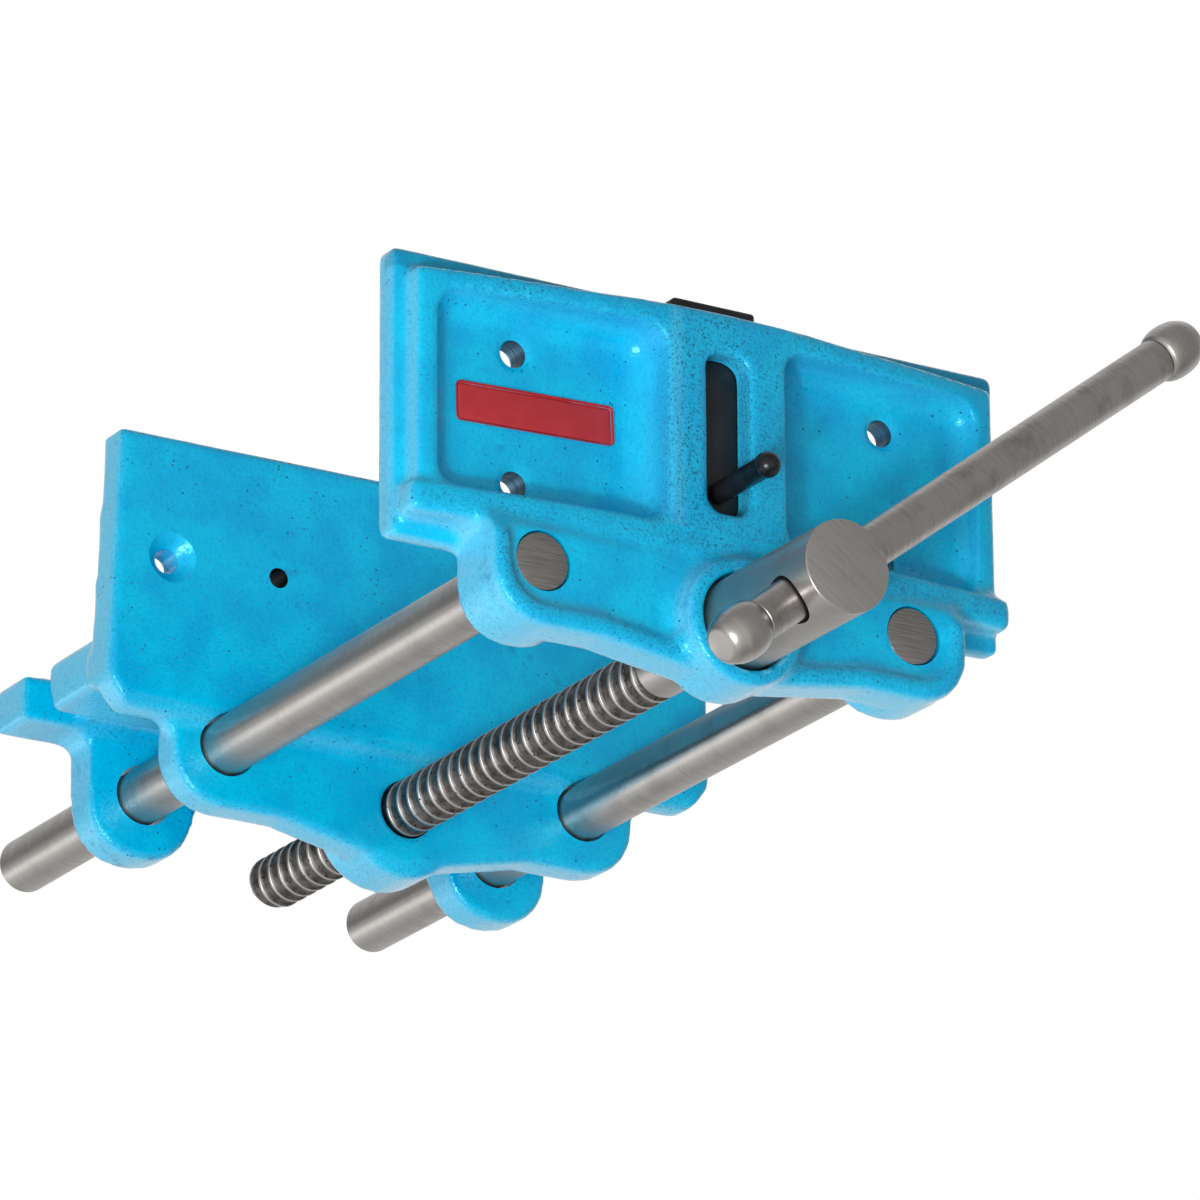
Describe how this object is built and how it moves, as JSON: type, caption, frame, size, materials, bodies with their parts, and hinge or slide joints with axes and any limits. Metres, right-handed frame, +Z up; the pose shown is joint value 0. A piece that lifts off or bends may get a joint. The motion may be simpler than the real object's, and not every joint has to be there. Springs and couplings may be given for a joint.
{
  "type": "woodworking vise",
  "caption": "Bench vise with a bolted rear jaw, a front jaw on guide rods drawn in by a lead screw with a sliding handle, and a sliding dog in the front jaw.",
  "frame": {"origin": "middle of the mounting flange's upper face, which bears on the underside of the bench top", "axes": "+X to the right seen from the front, +Y to the rear along the screw, +Z up out of the mounting flange"},
  "size_m": [0.1925, 0.3087, 0.1078],
  "materials": {
    "blue_casting": "gloss",
    "bare_steel": "satin",
    "black_steel": "satin"
  },
  "bodies": {
    "fixed_jaw": {"rear_jaw": "blue_casting", "screw_nut": "bare_steel", "nut_pin": "bare_steel"},
    "moving_jaw": {"front_jaw": "blue_casting", "guide_rod_left": "bare_steel", "guide_rod_right": "bare_steel", "rod_pin_left": "bare_steel", "rod_pin_right": "bare_steel", "thrust_washer": "bare_steel"},
    "screw": {"lead_screw": "bare_steel", "retaining_collar": "bare_steel", "collar_pin": "bare_steel"},
    "handle": {"handle_bar": "bare_steel", "handle_knob_near": "bare_steel", "handle_knob_far": "bare_steel"},
    "dog": {"dog_bar": "black_steel", "dog_pin": "black_steel", "dog_spring": "bare_steel", "dog_spring_rivet": "bare_steel"}
  },
  "joints": [
    {"name": "jaw_slide", "type": "slide", "parent": "fixed_jaw", "child": "moving_jaw", "axis": [0, 1, 0], "range_m": [-0.04001, 0.12551]},
    {"name": "screw_spin", "type": "hinge", "parent": "moving_jaw", "child": "screw", "pos_m": [0, -0.16105, -0.0329], "axis": [0, 1, 0], "range_deg": [-2880, 9036]},
    {"name": "handle_slide", "type": "slide", "parent": "screw", "child": "handle", "axis": [0.7944, 0, 0.6074], "range_m": [-0.1093, 0.0101]},
    {"name": "dog_slide", "type": "slide", "parent": "moving_jaw", "child": "dog", "axis": [0, 0, 1], "range_m": [-0.0037, 0.0304]}
  ],
  "couplings": [
    {"joint": "jaw_slide", "follows": "screw_spin", "m_per_rad": 0.00079577}
  ]
}
